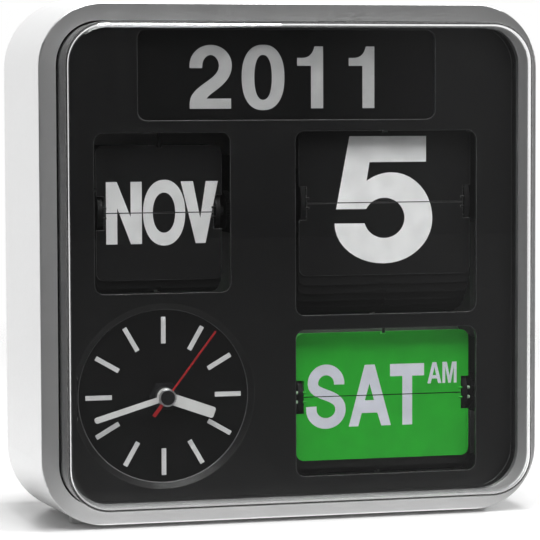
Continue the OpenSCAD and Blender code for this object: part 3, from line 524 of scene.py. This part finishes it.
def small_m():
    left = [(0, 0), (1.25, 0), (1.25, 6.9), (2.6, 0), (3.7, 0)]
    right = [(5.05, 6.9), (5.05, 0), (6.3, 0), (6.3, SMALL_CAP)]
    return [left + right + [(4.3, SMALL_CAP), (3.15, 3.0), (2.0, SMALL_CAP), (0, SMALL_CAP)]]


def small_p():
    stem = [(0, 0), (1.4, 0), (1.4, 3.3)]
    outer = arc(3.1, 6.1, 2.7, 2.8, -90, 90)
    inner = arc(2.9, 6.1, 1.4, 1.5, -90, 90)
    return [stem + outer + [(0, SMALL_CAP)], [(1.4, 4.6)] + inner + [(1.4, 7.6)]]


def at(x, y, glyph):
    """A glyph's outlines moved to a place on the face."""
    return [[(x + px, y + py) for px, py in ring] for ring in glyph]


def line_of(base, *placed):
    """The outlines of glyphs on one base line, each given with its x on the face."""
    return [ring for x, glyph in placed for ring in at(x, base, glyph())]


YEAR_DIGITS = (digit_two, digit_zero, digit_one, digit_one)
YEAR_PLACES = [(YEAR_FIRST + YEAR_STEP * i, digit) for i, digit in enumerate(YEAR_DIGITS)]
YEAR_READING = line_of(YEAR_BASE, *YEAR_PLACES)
DAY_READING = line_of(DAY_BASE, (17.65, letter_s), (27.57, letter_a), (45.62, letter_t))
READINGS = {
    "month": line_of(MONTH_BASE, (-75.05, letter_n), (-59.68, letter_o), (-43.92, letter_v)),
    "date": line_of(DATE_BASE, (DATE_X, digit_five)),
    "weekday": DAY_READING + line_of(SMALL_BASE, (62.05, small_a), (68.7, small_m)),
}
NEXT_READINGS = {
    "month": line_of(MONTH_BASE, (-74.6, letter_d), (-57.3, letter_e), (-43.6, letter_c)),
    "date": line_of(DATE_BASE, (DATE_X, digit_six)),
    "weekday": DAY_READING + line_of(SMALL_BASE, (62.3, small_p), (68.7, small_m)),
}


def link(name, data):
    """A new object in the scene."""
    obj = bpy.data.objects.new(name, data)
    bpy.context.scene.collection.objects.link(obj)
    return obj


def piece_of(name, work, material):
    """An object made from a bmesh, which is freed."""
    mesh = bpy.data.meshes.new(name)
    work.to_mesh(mesh)
    work.free()
    mesh.materials.append(material)
    return link(name, mesh)


def filled(rings):
    """A flat bmesh that fills the outlines, on z = 0."""
    curve = bpy.data.curves.new("outlines", "CURVE")
    curve.dimensions = "2D"
    curve.fill_mode = "BOTH"
    for ring in rings:
        spline = curve.splines.new("POLY")
        spline.points.add(len(ring) - 1)
        for point, (x, y) in zip(spline.points, ring):
            point.co = (x * MM, y * MM, 0.0, 1.0)
        spline.use_cyclic_u = True
    holder = bpy.data.objects.new("outlines", curve)
    flat = bpy.data.meshes.new_from_object(holder)
    bpy.data.objects.remove(holder)
    bpy.data.curves.remove(curve)
    work = bmesh.new()
    work.from_mesh(flat)
    bpy.data.meshes.remove(flat)
    bmesh.ops.remove_doubles(work, verts=work.verts, dist=INK_WELD)
    return work


def ink(name, rings, surface_y, material, keep=None):
    """Closed sheet of ink that fills the outlines, on the plane at surface_y, facing the viewer.

    keep is (height, side): only what lies above that height is kept for side 1, or below it for side -1.
    """
    work = filled(rings)
    if keep:
        height, side = keep
        everything = work.verts[:] + work.edges[:] + work.faces[:]
        plane = {"plane_co": (0, height, 0), "plane_no": (0, side, 0)}
        bmesh.ops.bisect_plane(work, geom=everything, clear_inner=True, **plane)
    raised = bmesh.ops.extrude_face_region(work, geom=work.faces[:])
    top = [item for item in raised["geom"] if isinstance(item, bmesh.types.BMVert)]
    bmesh.ops.translate(work, verts=top, vec=(0, 0, INK_T))
    bmesh.ops.recalc_face_normals(work, faces=work.faces)
    # Extruding leaves the faces in an order that varies from run to run, so they are sorted by place
    for rank, face in enumerate(sorted(work.faces, key=lambda f: tuple(f.calc_center_median()))):
        face.index = rank
    work.faces.sort()
    to_part = Matrix(((1, 0, 0, 0), (0, 0, -1, surface_y), (0, 1, 0, CENTRE_Z), (0, 0, 0, 1)))
    bmesh.ops.transform(work, matrix=to_part, verts=work.verts)
    piece = piece_of(name, work, material)
    return piece


def turned(point, angle):
    """A turn about the line along x through a point."""
    return Matrix.Translation(point) @ Matrix.Rotation(angle, 4, "X") @ Matrix.Translation(-point)


def unit_prints(unit, material):
    """The reading on the two front cards of a unit, and the next reading.

    The next reading has its lower half on the back of the upper card, and its upper half on the first
    card that waits in the pack.
    """
    upper_pin = Vector(joints[f"{unit}_upper_card_flip"]["pos_m"])
    lower_pin = Vector(joints[f"{unit}_lower_card_hang"]["pos_m"])
    drum = joints[f"{unit}_drum_step"]
    step = math.radians(drum["range_deg"][1])
    split = (upper_pin + lower_pin) / 2
    front = split.y - CARD_T / 2
    height = split.z - CENTRE_Z
    above, below = (height + SPLIT_GAP, 1), (height - SPLIT_GAP, -1)
    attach(ink(f"{unit}_upper_print", READINGS[unit], front, material, above), f"{unit}_upper_card")
    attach(ink(f"{unit}_lower_print", READINGS[unit], front, material, below), f"{unit}_lower_card")
    back = ink(f"{unit}_back_print", NEXT_READINGS[unit], front, material, below)
    back.data.transform(turned(split, math.pi))
    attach(back, f"{unit}_upper_card")
    waiting = ink(f"{unit}_next_print", NEXT_READINGS[unit], front, material, above)
    waiting.data.transform(turned(Vector(drum["pos_m"]), -step))
    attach(waiting, f"{unit}_drum")


# Small fittings

def lathe(name, profile, centre, material, steps):
    """A closed turned piece about an axis that points at the viewer.

    The profile is pairs of radius and height.
    """
    work = bmesh.new()
    rings = []
    for radius, height in profile:
        ring = []
        for k in range(steps):
            a = 2 * math.pi * k / steps
            x = centre.x + radius * math.cos(a)
            z = centre.z + radius * math.sin(a)
            ring.append(work.verts.new((x, centre.y - height, z)))
        rings.append(ring)
    for low, high in zip(rings, rings[1:]):
        for k in range(steps):
            n = (k + 1) % steps
            work.faces.new((low[k], low[n], high[n], high[k]))
    work.faces.new(rings[0])
    work.faces.new(rings[-1])
    bmesh.ops.recalc_face_normals(work, faces=work.faces)
    for face in work.faces:
        face.smooth = len(face.verts) == 4
    return piece_of(name, work, material)


def hub_cap(materials):
    """The cap over the hands: a black dome set in a bright ring."""
    low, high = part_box("hand_cap")
    centre = Vector(((low.x + high.x) / 2, high.y, (low.z + high.z) / 2))
    radius = (high.x - low.x) / 2
    tall = high.y - low.y
    rim_profile = [(radius * wide, tall * up) for wide, up in RIM_SHAPE]
    dome = radius * DOME_WIDTH
    dome_profile = [(dome, 0.0)]
    for angle in DOME_ANGLES:
        a = math.radians(angle)
        dome_profile.append((dome * math.cos(a), tall * (DOME_FOOT + DOME_RISE * math.sin(a))))
    rim = lathe("cap_rim", rim_profile, centre, materials["motor_can"], CAP_STEPS)
    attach(rim, "second_hand")
    top = lathe("cap_dome", dome_profile, centre, materials["cap_black"], CAP_STEPS)
    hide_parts("hand_cap")
    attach(top, "second_hand")


def pin_ends(unit, material):
    """The headed ends of the front cards' pins, which show beside the drum in the notches of the cards."""
    low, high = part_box(f"{unit}_upper_card")
    for card, joint in (("upper_card", "upper_card_flip"), ("lower_card", "lower_card_hang")):
        pin = Vector(joints[f"{unit}_{joint}"]["pos_m"])
        for side, name, edge in ((-1, "left", low.x), (1, "right", high.x)):
            end = lathe(f"{unit}_{card}_pin_{name}", PIN_SHAPE, Vector(), material, PIN_STEPS)
            start = Vector((edge - side * PIN_HALF, pin.y, pin.z))
            end.data.transform(Matrix.Translation(start) @ Matrix.Rotation(side * math.pi / 2, 4, "Z"))
            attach(end, f"{unit}_{card}")


def rear_mark(name, rings, surface_y, material):
    """A mark on a surface that faces back, drawn as it is seen from behind."""
    mark = ink(name, rings, -surface_y, material)
    mark.data.transform(Matrix.Rotation(math.pi, 4, "Z"))
    return mark


def screw_crosses(material):
    """The driver recesses of the four long screws in the back."""
    low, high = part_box("cover_screws")
    centre_x = (high.x + low.x) / 2 / MM
    centre_y = ((high.z + low.z) / 2 - CENTRE_Z) / MM
    reach_x = (high.x - low.x) / 2 / MM - SCREW_R
    reach_y = (high.z - low.z) / 2 / MM - SCREW_R
    arm = [(-CROSS_W / 2, -CROSS_L / 2), (CROSS_W / 2, -CROSS_L / 2), (CROSS_W / 2, -CROSS_W / 2)]
    cross = []
    for quarter in range(4):
        cross += arm
        arm = [(-y, x) for x, y in arm]
    rings = []
    for x in (-reach_x, reach_x):
        for y in (-reach_y, reach_y):
            rings += at(x - centre_x, y + centre_y, [cross])
    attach(rear_mark("screw_crosses", rings, high.y, material), "case")


def door_arrow(material):
    """An arrow on the battery door that points the way it slides."""
    low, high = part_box("battery_door")
    x = -(high.x + low.x) / 2 / MM
    y = ((high.z + low.z) / 2 - CENTRE_Z) / MM + ARROW_RAISE
    stem = [(-ARROW_STEM, ARROW_TAIL), (ARROW_STEM, ARROW_TAIL), (ARROW_STEM, ARROW_NECK)]
    head = [(ARROW_HEAD, ARROW_NECK), (0, ARROW_TIP), (-ARROW_HEAD, ARROW_NECK)]
    way = math.copysign(1, joints["battery_door_slide"]["axis"][2])
    arrow = [(px, -way * py) for px, py in stem + head + [(-ARROW_STEM, ARROW_NECK)]]
    mark = rear_mark("door_arrow", at(x, y, [arrow]), high.y - DOOR_RIB, material)
    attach(mark, "battery_door")


def paint_shade_at_ends(node, low, high, shade_below_colour, shade_above_colour):
    """A copy of the solid's material with painted shade: it turns to darker colours below and above two heights in
    the part.
    """
    obj = nodes[node]
    mat = obj.data.materials[0].copy()
    mat.name = f"{node}_painted_shade"
    tree = mat.node_tree
    base = principled(mat).inputs["Base Color"]
    colour = base.links[0].from_socket
    up = own_axes(tree)["Z"]
    for side, height, other in (("LESS_THAN", low, shade_below_colour), ("GREATER_THAN", high, shade_above_colour)):
        own_height = (obj.matrix_world.inverted() @ Vector((0, 0, height))).z
        colour = recolour(tree, calculate(tree, side, up, own_height), colour, other)
    tree.links.new(colour, base)
    obj.data.materials[0] = mat


# Stage, light and camera

def pale_floor():
    """A white floor that keeps the shadow and fades into the white surroundings."""
    bpy.ops.mesh.primitive_plane_add(size=FLOOR_SIZE, location=(0, 0, -FLOOR_DROP))
    floor = bpy.context.object
    floor.name = "floor"
    mat = plain("floor_white", grey(FLOOR_LEVEL), FLOOR_ROUGH, Specular_IOR_Level=FLOOR_SHINE)
    tree = mat.node_tree
    sockets = principled(mat).inputs
    sockets["Emission Color"].default_value = (1, 1, 1, 1)
    seen_by_eye(tree, sockets["Emission Strength"], FLOOR_LIFT, 0.0)
    away = tree.nodes.new("ShaderNodeVectorMath")
    away.operation = "LENGTH"
    tree.links.new(own_place(tree), away.inputs[0])
    fade = remap(tree, away.outputs["Value"], (FLOOR_NEAR, FLOOR_FAR), (1.0, 0.0))
    tree.links.new(fade, sockets["Alpha"])
    floor.data.materials.append(mat)


def dark_flag():
    """A dark sheet in front, out of the camera's sight, that the bezel and the cover mirror.

    It lies on the floor, rises far in front and has a wing on the left. Its glow falls off away from
    the clock and rises towards the right.
    """
    left, right, near, far = FLAG_LEFT, FLAG_RIGHT, FLAG_NEAR, FLAG_FAR
    low, top, wing = FLAG_LIFT, FLAG_TOP, FLAG_WING
    corners = [(left, near, low), (right, near, low), (right, far, low), (left, far, low),
               (right, far, top), (left, far, top), (left, wing, top), (left, wing, low)]
    mesh = bpy.data.meshes.new("front_flag")
    mesh.from_pydata(corners, [], [(0, 1, 2, 3), (3, 2, 4, 5), (3, 5, 6, 7)])
    mat = plain("flag_grey", grey(FLAG_LEVEL), FLAG_ROUGH)
    tree = mat.node_tree
    sockets = principled(mat).inputs
    sockets["Emission Color"].default_value = (1, 1, 1, 1)
    axes = own_axes(tree)
    fall = remap(tree, axes["Y"], (FLAG_NEAR, FLAG_DARK), (FLAG_PALE, FLAG_GREY))
    aside = calculate(tree, "MULTIPLY_ADD", axes["Y"], FLAG_SLANT, axes["X"])
    rise = remap(tree, aside, (0.0, FLAG_SIDE_WIDTH), (0.0, FLAG_SIDE))
    tree.links.new(calculate(tree, "ADD", fall, rise), sockets["Emission Strength"])
    mesh.materials.append(mat)
    flag = link("front_flag", mesh)
    flag.visible_camera = False
    flag.visible_shadow = False


def softbox(name, place, aim, size, power):
    """A rectangular lamp that is turned to a point."""
    lamp = bpy.data.lights.new(name, "AREA")
    lamp.shape = "RECTANGLE"
    lamp.size, lamp.size_y = size
    lamp.energy = power
    obj = link(name, lamp)
    obj.location = place
    obj.rotation_euler = (Vector(aim) - Vector(place)).to_track_quat("-Z", "Y").to_euler()


def white_world():
    """Surroundings that look white and light the object dimly."""
    world = bpy.data.worlds.new("world")
    bpy.context.scene.world = world
    world.use_nodes = True
    tree = world.node_tree
    tree.nodes["Background"].inputs["Color"].default_value = (1, 1, 1, 1)
    seen_by_eye(tree, tree.nodes["Background"].inputs["Strength"], 1.0, AMBIENT)


def camera():
    """The photograph's view: turned about the clock and looking slightly down."""
    yaw, pitch, roll = (math.radians(a) for a in CAMERA_ANGLES)
    data = bpy.data.cameras.new("camera")
    data.sensor_width = SENSOR
    data.lens = CAMERA_FOCAL_PX / FRAME_PX * SENSOR
    data.clip_start, data.clip_end = CAMERA_CLIP
    obj = link("camera", data)
    tilt = Matrix.Rotation(math.pi / 2 - pitch, 4, "X")
    turn = Matrix.Rotation(yaw, 4, "Z") @ tilt @ Matrix.Rotation(roll, 4, "Z")
    x, depth, y = CAMERA_AT
    obj.matrix_world = Matrix.Translation((x * MM, BEZEL_Y + depth * MM, CENTRE_Z + y * MM)) @ turn
    bpy.context.scene.camera = obj


# The scene

camera()
white_world()
pale_floor()
dark_flag()
for name, lamp in SOFTBOXES.items():
    softbox(name, *lamp)

materials = finishes()
slots = {part["node"]: part["material_slot"] for part in frame["record"]["subparts"]}
for name, obj in nodes.items():
    obj.data.materials.clear()
    obj.data.materials.append(materials[slots[name]])
for unit in ("month", "date"):
    nodes[f"{unit}_card_pack"].data.materials[0] = materials["pack_black"]

year_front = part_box("year_card")[0].y
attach(ink("year_digits", YEAR_READING, year_front, materials["ink_year"]), "case")
for unit in READINGS:
    unit_prints(unit, materials[f"ink_{unit}"])
hub_cap(materials)
pin_ends("weekday", materials["pin_green"])
screw_crosses(materials["switch_black"])
door_arrow(materials["switch_black"])
upper_low, upper_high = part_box("weekday_upper_card")
# Painted shade on the weekday pack: near black below the front upper card, dim green at its top
paint_shade_at_ends("weekday_card_pack", upper_low.z, upper_high.z - PACK_SHADE_REACH, PACK_SHADE_BELOW, PACK_SHADE_TOP)

bpy.context.scene.view_settings.view_transform = "Standard"
